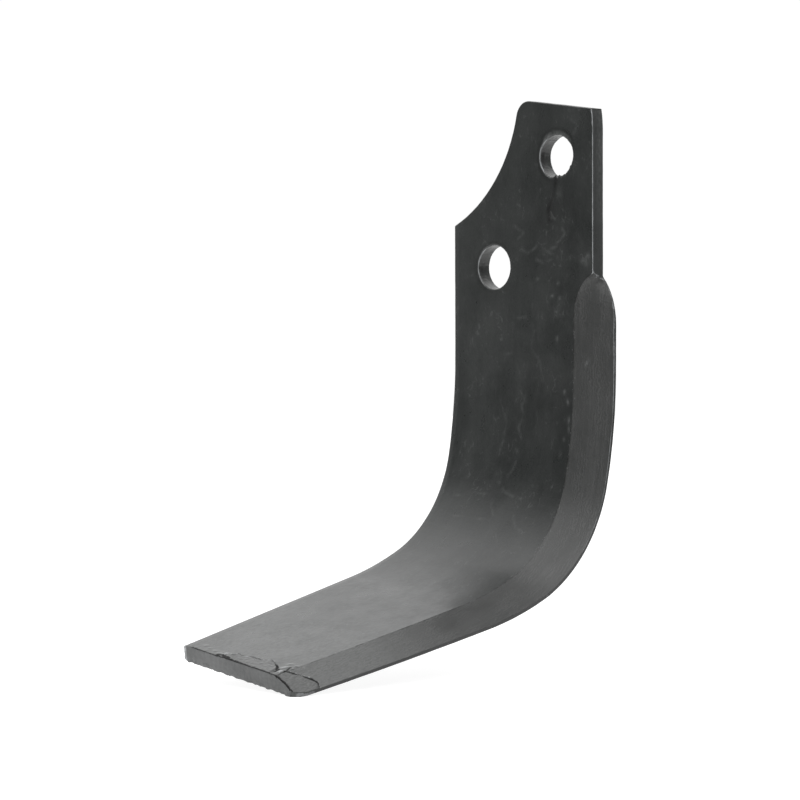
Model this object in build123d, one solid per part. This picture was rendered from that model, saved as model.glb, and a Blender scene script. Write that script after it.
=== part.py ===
from build123d import *

import os
from math import acos, cos, radians, sin, sqrt, tan

# Rotary tiller blade: one piece of flat bar, sheared, punched, bevelled along one edge and bent.
#
# The flat upper end bolts to a flange on the tiller's shaft through two holes, and the lower end, the
# leg, is bent forward over a bend that is tightest in the middle. A scallop is cut from the blunt side
# beside the holes. The cutting edge is ground by a forged bevel that starts under the bolt zone, where
# the hot metal spread sideways and widened the bar, and it runs round the bend to the tip.
#
# Frame, in millimetres: the origin is midway between the two bolt holes on the seat, the face that lies
# on the flange and that is the outside of the bend. X runs across the bar to the cutting edge, -Y is the
# side that the leg points to, and +Z runs up the bar. Distances "down" the blank are measured on the
# inner face of the bend, from the origin.

# Bar stock
thickness = 5.0
bar_width = 62.5
pattern_offset = 1.45
bar_edge_radius = 0.8
crisp_edge_radius = 0.4

# Two punched bolt holes, the upper one nearer to the cutting edge
hole_diameter = 14.5
hole_spacing = 44.8
hole_line_angle = 51.4
punch_roll_radius = 0.45

# Upper end: a slanting shear cut, a rounded blunt corner and a drawn-in edge corner
top_at_edge_side = 32.0
top_slope = 7.6
top_corner_radius = 5.2
drawn_in_depth = 0.6
drawn_in_length = 6.0

# Scallop in the blunt side, centred on the line square to the hole line
scallop_radius = 49.9
scallop_land = 17.4
scallop_middle_angle = -25.0

# Bend: where it starts on the blunt side, its slant, and the arcs it is made of
bend_start = 45.3
bend_slant = 7.1
lead_in_radius = 176.0
lead_in_angle = 10.6
main_radius = 41.4
main_angle = 56.9
lead_out_radius = 116.2
lead_out_angle = 11.5

# Cutting edge: where the metal spread out, how far, and the long curve to the tip
spread_start = 21.1
spread_width = 5.4
spread_radius = 23.0
edge_radius = 1175.0

# Bevel: start of its border on the inner face, its width, the run-out and the land left under it
border_start = 19.6
bevel_width = 13.7
run_out_radius = 16.0
border_radius = 1600.0
land_thickness = 1.0

# Leg: length of the blank on the blunt side, slope of the end cut, rounding of the tip
leg_end = 219.6
end_slope = 8.4
tip_radius = 4.4

# How far the cutting solids reach past the metal, and how finely they follow the bend
overreach = 6.0
bend_stations = 13
run_out_stations = 8
bevel_stations = 30
bevel_overreach = 0.35
settling_steps = 40

ARCS = (
    (lead_in_radius, radians(lead_in_angle)),
    (main_radius, radians(main_angle)),
    (lead_out_radius, radians(lead_out_angle)),
)
bend_run = sum(radius * angle for radius, angle in ARCS)
blunt_side = -(bar_width / 2 + pattern_offset)
edge_side = blunt_side + bar_width
slant = radians(bend_slant)


def slope(angle):
    """Return the rise for each unit across of a line at an angle in degrees."""
    return tan(radians(angle))


def sagitta(radius, half_chord):
    """Return how far an arc falls away from its tangent at a distance along that tangent."""
    return radius - sqrt(radius**2 - half_chord**2)


def arc_reach(radius, fall):
    """Return the distance along the tangent at which an arc has fallen away by an amount."""
    return radius * sin(acos(1 - fall / radius))


# Tangent points of the two outlines, where the spread and the run-out become the long curves
edge_tangent_side = edge_side + spread_width
edge_tangent_down = spread_start + arc_reach(spread_radius, spread_width)
border_tangent_side = edge_tangent_side - bevel_width
border_tangent_down = border_start + arc_reach(run_out_radius, edge_side - border_tangent_side)


def edge_across(down):
    """Return how far across the blank the spread and cutting edge lie at a distance down it."""
    radius = spread_radius if down < edge_tangent_down else edge_radius
    return edge_tangent_side - sagitta(radius, down - edge_tangent_down)


def border_across(down):
    """Return how far across the blank the border of the bevel lies on the inner face."""
    if down < border_tangent_down:
        return border_tangent_side + sagitta(run_out_radius, border_tangent_down - down)
    return border_tangent_side - sagitta(border_radius, down - border_tangent_down)


def end_down(across):
    """Return how far down the blank the end cut lies at a distance across it."""
    return leg_end + (across - blunt_side) * slope(end_slope)


def run_past_bend_line(across, down):
    """Return how far past the slanting bend line a point of the blank lies."""
    return (down - bend_start) * cos(slant) - (across - blunt_side) * sin(slant)


def slide_along_bend(across, down):
    """Return how far along the bend line a point of the blank lies."""
    return (across - blunt_side) * cos(slant) + (down - bend_start) * sin(slant)


def bend_line_down(across):
    """Return how far down the blank the bend line lies at a distance across it."""
    return bend_start + (across - blunt_side) * slope(bend_slant)


def folded(run):
    """Return the depth, the forward reach and the turn in radians of the inner face at a run."""
    depth = min(run, 0.0)
    rest = max(run, 0.0)
    reach = 0.0
    turn = 0.0
    for radius, angle in ARCS:
        arc = min(rest / radius, angle)
        depth += radius * (sin(turn + arc) - sin(turn))
        reach += radius * (cos(turn) - cos(turn + arc))
        turn += arc
        rest -= radius * arc
    return depth + rest * cos(turn), reach + rest * sin(turn), turn


def bent(across, down, behind=0.0):
    """Return where a point of the flat blank lies after bending, at a depth behind the inner face."""
    run = run_past_bend_line(across, down)
    slide = slide_along_bend(across, down)
    depth, reach, turn = folded(run)
    depth += behind * sin(turn)
    reach -= behind * cos(turn)
    x = blunt_side + slide * cos(slant) - depth * sin(slant)
    z = -bend_start - slide * sin(slant) - depth * cos(slant)
    return Vector(x, -thickness - reach, z)


def blank_point(run, slide):
    """Return the blank's own across and down of a point given along and past the bend line."""
    across = blunt_side + slide * cos(slant) - run * sin(slant)
    down = bend_start + slide * sin(slant) + run * cos(slant)
    return across, down


def flat_arc(start, end, across_at):
    """Return the arc between two distances down the blank that follows an outline on the inner face."""
    middle = (start + end) / 2
    points = [bent(across_at(down), down) for down in (start, middle, end)]
    return ThreePointArc(*points)


def crossing(across_at, down_at):
    """Return the distance down the blank at which a curved outline meets a slanting line."""
    down = down_at(edge_side)
    for _ in range(settling_steps):
        down = down_at(across_at(down))
    return down


def run_line_down(run):
    """Return the function that gives the distance down of the line at a run past the bend line."""
    return lambda across: bend_line_down(across) + run / cos(slant)


def scallop_centre():
    """Return the centre of the scallop, on the line square to the hole line."""
    distance = scallop_radius + scallop_land
    return -distance * sin(radians(hole_line_angle)), distance * cos(radians(hole_line_angle))


def make_shank():
    """Return the flat bolt zone down to the bend line, with its scallop and upper corners."""
    face_y = -thickness
    top_at_blunt_side = top_at_edge_side + (bar_width - drawn_in_depth) * slope(top_slope)
    drawn_in_radius = (drawn_in_length**2 + drawn_in_depth**2) / (2 * drawn_in_depth)
    corner_x = edge_side - drawn_in_depth
    middle_x = edge_side - sagitta(drawn_in_radius, drawn_in_length / 2)
    blunt_corner = Vector(blunt_side, face_y, top_at_blunt_side)
    edge_corner = Vector(corner_x, face_y, top_at_edge_side)
    drawn_in_middle = Vector(middle_x, face_y, top_at_edge_side - drawn_in_length / 2)
    drawn_in_foot = Vector(edge_side, face_y, top_at_edge_side - drawn_in_length)
    spread_top = Vector(edge_side, face_y, -spread_start)
    bend_edge_down = crossing(edge_across, bend_line_down)
    bend_edge_end = bent(edge_across(bend_edge_down), bend_edge_down)
    bend_blunt_end = bent(blunt_side, bend_start)
    outline = Wire(
        [
            Line(blunt_corner, edge_corner),
            ThreePointArc(edge_corner, drawn_in_middle, drawn_in_foot),
            Line(drawn_in_foot, spread_top),
            flat_arc(spread_start, edge_tangent_down, edge_across),
            flat_arc(edge_tangent_down, bend_edge_down, edge_across),
            Line(bend_edge_end, bend_blunt_end),
            Line(bend_blunt_end, blunt_corner),
        ]
    )
    plate = extrude(Face(outline), amount=thickness, dir=(0, 1, 0))
    scallop_x, scallop_z = scallop_centre()
    punch = Plane((scallop_x, 0, scallop_z), z_dir=(0, 1, 0)) * Cylinder(scallop_radius, 3 * thickness)
    plate -= punch
    upright_edges = plate.edges().filter_by(Axis.Y)
    blunt_top_edge = upright_edges.filter_by_position(Axis.X, blunt_side, 0).sort_by(Axis.Z)[-1]
    return fillet(blunt_top_edge, radius=top_corner_radius)


def bend_arcs(slide, behind):
    """Return the arcs of the bend in the plane square to it, at a depth behind the inner face."""
    arcs = []
    run = 0.0
    for radius, angle in ARCS:
        runs = (run, run + radius * angle / 2, run + radius * angle)
        points = [bent(*blank_point(part_run, slide), behind) for part_run in runs]
        arcs.append(ThreePointArc(*points))
        run += radius * angle
    return arcs


def trim_section(run, inner_slide, outer_slide):
    """Return the outline, square to the bend, of a solid that trims the strip back to an edge."""
    corners = (
        (inner_slide, -overreach),
        (inner_slide, thickness + overreach),
        (outer_slide, thickness + overreach),
        (outer_slide, -overreach),
    )
    points = [bent(*blank_point(run, slide), behind) for slide, behind in corners]
    return Wire.make_polygon(points)


def make_bend():
    """Return the bent zone: a curved strip of true arcs, trimmed to the bar's two edges."""
    strip_start = -overreach
    strip_end = bar_width + 4 * overreach
    inner = bend_arcs(strip_start, 0.0)
    outer = bend_arcs(strip_start, thickness)
    upper_end = Line(outer[0] @ 0, inner[0] @ 0)
    lower_end = Line(inner[-1] @ 1, outer[-1] @ 1)
    profile = make_face([*inner, lower_end, *reversed(outer), upper_end])
    along_bend = (cos(slant), 0, -sin(slant))
    strip = extrude(profile, amount=strip_end - strip_start, dir=along_bend)

    blunt_sections = []
    edge_sections = []
    for step in range(bend_stations):
        run = bend_run * step / (bend_stations - 1)
        blunt_slide = slide_along_bend(blunt_side, run_line_down(run)(blunt_side))
        edge_down = crossing(edge_across, run_line_down(run))
        edge_slide = slide_along_bend(edge_across(edge_down), edge_down)
        blunt_sections.append(trim_section(run, blunt_slide, strip_start - overreach))
        edge_sections.append(trim_section(run, edge_slide, strip_end + overreach))
    return strip - Solid.make_loft(blunt_sections) - Solid.make_loft(edge_sections)


def make_leg():
    """Return the flat leg beyond the bend, with its slanting end cut and rounded tip."""
    blunt_start = run_line_down(bend_run)(blunt_side)
    edge_start = crossing(edge_across, run_line_down(bend_run))
    edge_end = crossing(edge_across, end_down)
    tip = bent(edge_across(edge_end), edge_end)
    outline = Wire(
        [
            Line(bent(edge_across(edge_start), edge_start), bent(blunt_side, blunt_start)),
            Line(bent(blunt_side, blunt_start), bent(blunt_side, leg_end)),
            Line(bent(blunt_side, leg_end), tip),
            flat_arc(edge_start, edge_end, edge_across),
        ]
    )
    behind_tip = bent(edge_across(edge_end), edge_end, thickness)
    leg = extrude(Face(outline), amount=thickness, dir=behind_tip - tip)
    tip_edge = leg.edges().sort_by(lambda edge: (edge.center() - (tip + behind_tip) / 2).length)[0]
    return fillet(tip_edge, radius=tip_radius)


def bevel_section(border_down, edge_down, land):
    """Return a triangle that holds what the bevel removes, from its border to the top of the land."""
    border = bent(border_across(border_down), border_down)
    land_top = bent(edge_across(edge_down), edge_down, thickness - land)
    past = (land_top - border) * bevel_overreach
    outside = bent(edge_across(edge_down) + overreach, edge_down, -overreach)
    return Wire.make_polygon([border - past, land_top + past, outside])


def make_bevel_cutter():
    """Return the solid that the forged bevel removes, from its run-out to past the tip."""
    sections = []
    for step in range(run_out_stations):
        part_way = step / run_out_stations
        border_down = border_start + part_way * (border_tangent_down - border_start)
        edge_down = spread_start + part_way * (edge_tangent_down - spread_start)
        sections.append(bevel_section(border_down, edge_down, land_thickness * part_way))
    bevel_length = leg_end + 2 * overreach - border_tangent_down
    for step in range(bevel_stations):
        further = bevel_length * step / (bevel_stations - 1)
        sections.append(bevel_section(border_tangent_down + further, edge_tangent_down + further, land_thickness))
    return Solid.make_loft(sections)


def edges_at(body, points):
    """Return the body's edges that lie at the given points."""
    return [body.edges().sort_by(lambda edge: edge.distance_to(point))[0] for point in points]


def round_blunt_edges(blade):
    """Round both long edges of the blunt side, as rolled bar stock has them."""
    shank_down = bend_start / 2
    bend_down = run_line_down(bend_run / 2)(blunt_side)
    leg_down = leg_end - overreach
    points = []
    for behind in (0.0, thickness):
        points += [bent(blunt_side, down, behind) for down in (shank_down, bend_down, leg_down)]
    return fillet(edges_at(blade, points), radius=bar_edge_radius)


def ease_crisp_edges(blade):
    """Take the sharpness off the top, the scallop and the cutting edge side of the bolt zone."""
    top_edge_z = top_at_edge_side + (edge_side - drawn_in_depth) * slope(top_slope)
    scallop_x, scallop_z = scallop_centre()
    scallop_turn = radians(scallop_middle_angle)
    scallop_point_x = scallop_x + scallop_radius * cos(scallop_turn)
    scallop_point_z = scallop_z + scallop_radius * sin(scallop_turn)
    points = []
    for y in (-thickness, 0.0):
        points.append(Vector(0, y, top_edge_z))
        points.append(Vector(edge_side, y, 0))
        points.append(Vector(scallop_point_x, y, scallop_point_z))
    return fillet(edges_at(blade, points), radius=crisp_edge_radius)


def punch_bolt_holes(blade):
    """Punch the two bolt holes from the inner face, whose rims roll in with the punch."""
    rim_points = []
    for side in (-1, 1):
        x = side * hole_spacing / 2 * cos(radians(hole_line_angle))
        z = side * hole_spacing / 2 * sin(radians(hole_line_angle))
        punch = Plane((x, 0, z), z_dir=(0, 1, 0)) * Cylinder(hole_diameter / 2, 3 * thickness)
        blade -= punch
        rim_points.append(Vector(x + hole_diameter / 2, -thickness, z))
    return fillet(edges_at(blade, rim_points), radius=punch_roll_radius)


def make_blade():
    """Return the whole blade in the order that the real one is worked."""
    blade = make_shank() + make_bend() + make_leg()
    blade = round_blunt_edges(blade)
    blade = ease_crisp_edges(blade)
    blade -= make_bevel_cutter()
    return punch_bolt_holes(blade)


os.makedirs("parts", exist_ok=True)
export_step(make_blade(), "parts/tiller_blade.step")
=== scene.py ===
"""Looks of a rotary tiller blade: semi-gloss black paint over a sheared, punched, forged and bent bar.

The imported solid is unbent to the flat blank, cut into a fine even grid, worked there with forging marks,
lifted scale, burrs and thick paint, and bent again, so every mark follows the metal round the bend.
"""

import logging
from collections.abc import Iterable
from dataclasses import dataclass, field
from enum import Enum
from math import atan2, cos, exp, hypot, radians, sin, sqrt, tan

import bmesh
import bpy
from mathutils import Matrix, Vector, noise


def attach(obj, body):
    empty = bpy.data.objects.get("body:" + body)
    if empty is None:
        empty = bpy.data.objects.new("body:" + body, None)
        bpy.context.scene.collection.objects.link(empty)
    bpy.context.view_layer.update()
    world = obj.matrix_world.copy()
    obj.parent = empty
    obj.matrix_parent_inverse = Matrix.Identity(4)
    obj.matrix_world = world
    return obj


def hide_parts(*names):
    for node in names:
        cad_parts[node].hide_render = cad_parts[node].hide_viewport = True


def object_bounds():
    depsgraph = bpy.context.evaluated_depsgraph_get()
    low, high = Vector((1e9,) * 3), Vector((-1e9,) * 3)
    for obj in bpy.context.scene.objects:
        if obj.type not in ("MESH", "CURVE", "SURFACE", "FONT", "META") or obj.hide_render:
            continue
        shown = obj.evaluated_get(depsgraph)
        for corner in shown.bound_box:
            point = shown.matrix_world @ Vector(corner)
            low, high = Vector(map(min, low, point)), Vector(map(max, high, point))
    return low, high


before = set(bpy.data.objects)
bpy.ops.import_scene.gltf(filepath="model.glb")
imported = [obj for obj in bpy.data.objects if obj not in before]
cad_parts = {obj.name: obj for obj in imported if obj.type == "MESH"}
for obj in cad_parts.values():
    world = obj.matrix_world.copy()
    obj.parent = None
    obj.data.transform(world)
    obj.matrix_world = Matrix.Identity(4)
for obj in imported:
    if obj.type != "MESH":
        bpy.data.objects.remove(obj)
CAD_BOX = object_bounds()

MM = 0.001
# Corners closer than TOUCH are one corner, in metres
TOUCH = 1e-6
# A corner closer than SNAP to a cutting plane counts as on it, in metres
SNAP = 1e-7
# Past the reach of every thread and line of the paint, in millimetres
FAR = 9.0
LOG = logging.getLogger("tiller_blade")

Pair = tuple[float, float]
Triple = tuple[float, float, float]
Colour = tuple[float, float, float, float]
Pairs = tuple[Pair, ...]
Span = tuple[float, ...]
Socket = bpy.types.NodeSocket
Face = bmesh.types.BMFace
Vert = bmesh.types.BMVert


class Skin(Enum):
    """The kinds of surface on the blade. The value is the index of the material slot."""

    ROLLED = 0
    BEVEL = 1
    SHEARED = 2


def ease(value: float, low: float, high: float) -> float:
    """Return 0 up to low, 1 past high, which may be the smaller one, and a smooth step between them."""
    share = min(max((value - low) / (high - low), 0.0), 1.0)
    return share * share * (3.0 - 2.0 * share)


def hump(value: float, middle: float, spread: float) -> float:
    """Return 1 at a middle and less on both sides of it, falling off smoothly over a spread."""
    return exp(-(((value - middle) / spread) ** 2))


def faces_front(normal: Vector) -> bool:
    """Return whether a normal of the flat blank points out of its inner side, which the camera sees."""
    return normal.y < -0.3


def gap_to(place: Vector, start: Vector, end: Vector) -> float:
    """Return the distance from a place to a straight stretch.

    Args:
        place: The place.
        start: One end of the stretch.
        end: Its other end.

    Returns:
        The distance.
    """
    side = end - start
    share = min(max((place - start).dot(side) / side.length_squared, 0.0), 1.0)
    return (place - start - side * share).length


@dataclass(frozen=True)
class Ripple:
    """A smooth noise over the blank: its height, its grain across and down the blank, and its seed."""

    height: float
    grain: Pair
    seed: float

    def at(self, across: float, down: float) -> float:
        """Return the ripple at a place, from about minus its height to its height."""
        return self.height * noise.noise(Vector((across / self.grain[0], down / self.grain[1], self.seed)))


@dataclass(frozen=True)
class BentBar:
    """The bar that the blade is bent from, and the way from the flat blank to the bent blade and back.

    A flat place has X across the bar, Y through its thickness and Z up it, as in the bolt zone.
    """

    thickness: float = 5.0 * MM
    blunt_side: float = -32.7 * MM
    bend_start: float = 45.3 * MM
    bend_slant: float = radians(7.1)
    arcs: Pairs = (
        (176.0 * MM, radians(10.6)),
        (41.4 * MM, radians(56.9)),
        (116.2 * MM, radians(11.5)),
    )

    def unbend(self, place: Vector) -> Vector:
        """Return where a place on the bent blade lies on the flat blank.

        Args:
            place: A place in the blade's own frame.

        Returns:
            The flat place.
        """
        cos_slant = cos(self.bend_slant)
        sin_slant = sin(self.bend_slant)
        across = place.x - self.blunt_side
        down = -place.z - self.bend_start
        slide = across * cos_slant + down * sin_slant
        depth = down * cos_slant - across * sin_slant
        reach = -self.thickness - place.y
        run, behind = self._unroll(depth, reach)
        flat_across = self.blunt_side + slide * cos_slant - run * sin_slant
        flat_down = self.bend_start + slide * sin_slant + run * cos_slant
        return Vector((flat_across, behind - self.thickness, -flat_down))

    def _unroll(self, depth: float, reach: float) -> Pair:
        """Return the run past the bend line and the depth behind the inner face.

        Args:
            depth: Distance past the bend line, measured in the plane of the bolt zone.
            reach: Distance in front of the inner face of the bolt zone.

        Returns:
            The run and the depth behind the inner face.
        """
        if depth <= 0.0:
            return depth, -reach
        run = 0.0
        turn = 0.0
        start_depth = 0.0
        start_reach = 0.0
        for radius, angle in self.arcs:
            centre_depth = start_depth - radius * sin(turn)
            centre_reach = start_reach + radius * cos(turn)
            heading = atan2(depth - centre_depth, centre_reach - reach)
            if heading < turn + angle:
                behind = hypot(depth - centre_depth, centre_reach - reach) - radius
                return run + radius * (heading - turn), behind
            start_depth += radius * (sin(turn + angle) - sin(turn))
            start_reach += radius * (cos(turn) - cos(turn + angle))
            run += radius * angle
            turn += angle
        past_depth = depth - start_depth
        past_reach = reach - start_reach
        run += past_depth * cos(turn) + past_reach * sin(turn)
        return run, past_depth * sin(turn) - past_reach * cos(turn)

    def bend(self, flat: Vector) -> Vector:
        """Return where a place on the flat blank lies after bending.

        Args:
            flat: A flat place.

        Returns:
            The place in the blade's own frame.
        """
        cos_slant = cos(self.bend_slant)
        sin_slant = sin(self.bend_slant)
        across = flat.x - self.blunt_side
        down = -flat.z - self.bend_start
        behind = flat.y + self.thickness
        slide = across * cos_slant + down * sin_slant
        run = down * cos_slant - across * sin_slant
        depth = min(run, 0.0)
        rest = max(run, 0.0)
        reach = 0.0
        turn = 0.0
        for radius, angle in self.arcs:
            part = min(rest / radius, angle)
            depth += radius * (sin(turn + part) - sin(turn))
            reach += radius * (cos(turn) - cos(turn + part))
            turn += part
            rest -= radius * part
        depth += rest * cos(turn) + behind * sin(turn)
        reach += rest * sin(turn) - behind * cos(turn)
        x = self.blunt_side + slide * cos_slant - depth * sin_slant
        z = -self.bend_start - slide * sin_slant - depth * cos_slant
        return Vector((x, -self.thickness - reach, z))


def faces_crossing(faces: Iterable[Face], axis: int, place: float) -> list[Face]:
    """Return the faces that lie on both sides of a plane square to an axis.

    Args:
        faces: The faces to look at.
        axis: 0, 1 or 2 for X, Y or Z.
        place: Where the plane lies on that axis.

    Returns:
        The faces that the plane cuts.
    """
    crossing = []
    for face in faces:
        reach = [vert.co[axis] for vert in face.verts]
        if min(reach) < place - TOUCH and max(reach) > place + TOUCH:
            crossing.append(face)
    return crossing


def slice_faces(mesh: bmesh.types.BMesh, faces: list[Face], axis: int, places: list[float]) -> list[Face]:
    """Cut faces by parallel planes, halving the faces and the planes in turn.

    Args:
        mesh: The mesh that the faces belong to.
        faces: The faces to cut.
        axis: The axis that the planes are square to.
        places: Where the planes lie on that axis, in rising order.

    Returns:
        All the faces that the given ones have become.
    """
    if not places or not faces:
        return faces
    middle = len(places) // 2
    place = places[middle]
    crossing = faces_crossing(faces, axis, place)
    cut = set(crossing)
    whole = [face for face in faces if face not in cut]
    if crossing:
        normal = Vector((0.0, 0.0, 0.0))
        normal[axis] = 1.0
        edges = {edge for face in crossing for edge in face.edges}
        verts = {vert for face in crossing for vert in face.verts}
        result = bmesh.ops.bisect_plane(
            mesh,
            geom=[*verts, *edges, *crossing],
            dist=SNAP,
            plane_co=normal * place,
            plane_no=normal,
            clear_outer=False,
            clear_inner=False,
        )
        whole += [item for item in result["geom"] if isinstance(item, Face)]
    below = [face for face in whole if face.calc_center_median()[axis] < place]
    above = [face for face in whole if face.calc_center_median()[axis] >= place]
    below = slice_faces(mesh, below, axis, places[:middle])
    above = slice_faces(mesh, above, axis, places[middle + 1 :])
    return below + above


def even_places(low: float, high: float, spacing: float) -> list[float]:
    """Return evenly spaced places inside a stretch.

    Args:
        low: Start of the stretch.
        high: End of the stretch.
        spacing: Distance between the places.

    Returns:
        The places, in rising order.
    """
    count = max(int((high - low) / spacing), 1)
    step = (high - low) / count
    return [low + step * (index + 0.5) for index in range(count)]


@dataclass(frozen=True)
class PunchedHole:
    """A punched bolt hole, with the paint that ran and dried in it, and painted light and shade in and round
    it.
    """

    across: float
    height: float
    radius: float = 7.25 * MM
    film: float = 0.10 * MM
    top_run: float = 0.0
    lump: float = 0.0
    # The next two size the painted light and shade in and round the hole.
    crescent: float = 0.0
    shading_strength: float = 0.6
    lump_middle: float = radians(-84.0)
    lump_spread: float = 0.40
    film_grain: float = 1.3 * MM
    knob_grain: float = 3.0 * MM
    fine_reach: float = 1.8 * MM
    # The next three give the reach of the painted light and shade and where the wall is painted lighter as
    # painted light.
    shading_reach: float = 2.4
    low_patch: Pair = (radians(-122.0), 0.42)
    top_patch: Pair = (radians(118.0), 0.35)

    def around(self, flat: Vector) -> Pair:
        """Return the distance from the hole's middle and the angle round it, from the cutting edge side.

        Args:
            flat: The flat place.

        Returns:
            The distance, in metres, and the angle, in radians.
        """
        aside = flat.x - self.across
        above = flat.z - self.height
        return hypot(aside, above), atan2(above, aside)

    def near(self, face: Face) -> bool:
        """Return whether a face of the unbent solid lies in the hole or close round it."""
        middle = face.calc_center_median()
        return self.around(middle)[0] < self.radius + self.fine_reach and middle.y < -0.5 * MM

    def paint(self, flat: Vector) -> Vector:
        """Return how far thick paint stands off a place in the hole.

        Args:
            flat: The flat place.

        Returns:
            The shift.
        """
        distance, angle = self.around(flat)
        on_wall = ease(distance, self.radius + 0.45 * MM, self.radius + 0.1 * MM)
        if on_wall == 0.0:
            return Vector((0.0, 0.0, 0.0))
        inward = Vector((self.across - flat.x, 0.0, self.height - flat.z)).normalized()
        lumpy = 0.5 + 0.5 * noise.noise(Vector((angle * 9.0, flat.y / self.film_grain, self.across * 50.0)))
        film = self.film * lumpy
        top = ease(sin(angle), 0.30, 0.95)
        film += self.top_run * top * (0.8 + 0.2 * lumpy)
        bottom = hump(angle, self.lump_middle, self.lump_spread)
        jagged = 0.4 * hump(angle - self.lump_middle, 0.9, 0.35)
        knobs = 0.75 + 0.8 * noise.noise(Vector((angle * 11.0, flat.y / self.knob_grain, 4.0)))
        film += self.lump * (bottom + jagged) * max(knobs, 0.1)
        return inward * (film * on_wall)

    def painted_shading(self, flat: Vector) -> float:
        """Return how much lighter or darker the paint is in the hole and on its rolled rim: painted light
        and shade.

        Args:
            flat: The flat place.

        Returns:
            The strength, less than zero where it is darker.
        """
        distance, angle = self.around(flat)
        out = (distance - self.radius) / MM
        if out > self.shading_reach:
            return 0.0
        depth = flat.y / MM + 5.0
        left = ease(-cos(angle), 0.0, 0.6)
        low_left = hump(angle, *self.low_patch)
        top_left = hump(angle, *self.top_patch)
        crescent = self.crescent * ease(sin(angle + radians(4.0)), 0.45, 0.75)
        # On the wall: painted shade on the left side, and painted light low and high on the left.
        if depth > 0.5:
            dark = 0.75 * left * hump(depth, 1.5, 0.55) + 0.3 * left
            return self.shading_strength * (0.75 * low_left + 0.4 * top_left - dark)
        # On the front: a painted highlight on the rim's left side, a painted shade halo outside it, and a
        # lighter painted band over the top.
        rim = 0.75 * left * hump(out, 0.12, 0.22)
        halo = 0.5 * max(left, ease(sin(angle), 0.3, 0.8)) * hump(out - 0.85, crescent, 0.45)
        band = 0.7 * crescent * ease(out, 1.35, 1.0) * ease(out, 0.0, 0.3)
        return self.shading_strength * (rim - halo) + band


@dataclass(frozen=True)
class ForgedBevel:
    """The forged bevel along the cutting edge, with the ripples that the dies left down it."""

    border_side: float = 21.5 * MM
    border_bow: float = 1600.0 * MM
    run_out: float = 16.0 * MM
    run_out_end: float = 33.6 * MM
    start: float = 18.0 * MM
    room: float = 0.5 * MM
    stray: Ripple = Ripple(1.1 * MM, (6.0 * MM, 7.0 * MM), 3.0)
    streak: Ripple = Ripple(0.03 * MM, (1.5 * MM, 7.0 * MM), 11.0)
    wave: Ripple = Ripple(0.06 * MM, (5.0 * MM, 9.0 * MM), 13.0)

    def border(self, down: float) -> float:
        """Return how far across the blank the bevel's border lies at a distance down it.

        Args:
            down: Distance down the blank, in metres.

        Returns:
            The place across the blank, in metres.
        """
        past = down - self.run_out_end
        if past < 0.0:
            past = max(past, -self.run_out)
            return self.border_side + self.run_out - sqrt(self.run_out**2 - past**2)
        return self.border_side - past**2 / (2.0 * self.border_bow)

    def height(self, flat: Vector) -> float:
        """Return how far the bevel's surface stands up at a flat place.

        Args:
            flat: The flat place.

        Returns:
            The height, in metres.
        """
        down = -flat.z
        stray = self.stray.at(flat.x, down)
        strength = 1.0 - 0.65 * ease(down, 62.0 * MM, 120.0 * MM)
        return self.streak.at(flat.x + stray, down) * strength + self.wave.at(flat.x, down) * 0.5


@dataclass(frozen=True)
class LiftedScale:
    """A patch of scale and paint at the end of the leg that has cracked round its outline and lifted."""

    outline: Pairs
    lift: float
    crack: float

    def inside(self, across: float, down: float) -> float:
        """Return how far inside the outline a place on the blank lies, less than zero outside it.

        Args:
            across: Place across the blank, in metres.
            down: Place down the blank, in metres.

        Returns:
            The signed distance to the outline, in metres.
        """
        nearest = 1.0
        within = False
        points = [Vector((x * MM, y * MM)) for x, y in self.outline]
        place = Vector((across, down))
        for start, end in zip(points, points[1:] + points[:1], strict=True):
            nearest = min(nearest, gap_to(place, start, end))
            if (start.y > down) != (end.y > down):
                crossing = start.x + (down - start.y) / (end.y - start.y) * (end.x - start.x)
                within ^= across < crossing
        return nearest if within else -nearest


@dataclass(frozen=True)
class Mark:
    """A soft spot on the blank, placed in millimetres: a darker or lighter mark, or a lump."""

    across: float
    down: float
    wide: float
    long: float
    lean: float
    strength: float

    def at(self, across: float, down: float) -> float:
        """Return the mark's strength at a place on the blank, in millimetres.

        Args:
            across: Place across the blank, in millimetres.
            down: Place down the blank, in millimetres.

        Returns:
            The strength, less than zero where the mark is darker.
        """
        x = across - self.across
        y = down - self.down
        if hypot(x, y) > 3.0 * max(self.wide, self.long):
            return 0.0
        along = y * cos(self.lean) + x * sin(self.lean)
        aside = x * cos(self.lean) - y * sin(self.lean)
        return self.strength * exp(-((aside / self.wide) ** 2) - (along / self.long) ** 2)

    def near(self, across: float, down: float) -> bool:
        """Return whether a place on the blank, in millimetres, is close to a mark that needs fine cells.

        Args:
            across: Place across the blank, in millimetres.
            down: Place down the blank, in millimetres.

        Returns:
            True where fine cells are needed.
        """
        small = min(self.wide, self.long) < 1.0
        reach = 1.5 * max(self.wide, self.long) + 0.8
        return small and hypot(across - self.across, down - self.down) < reach


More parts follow.
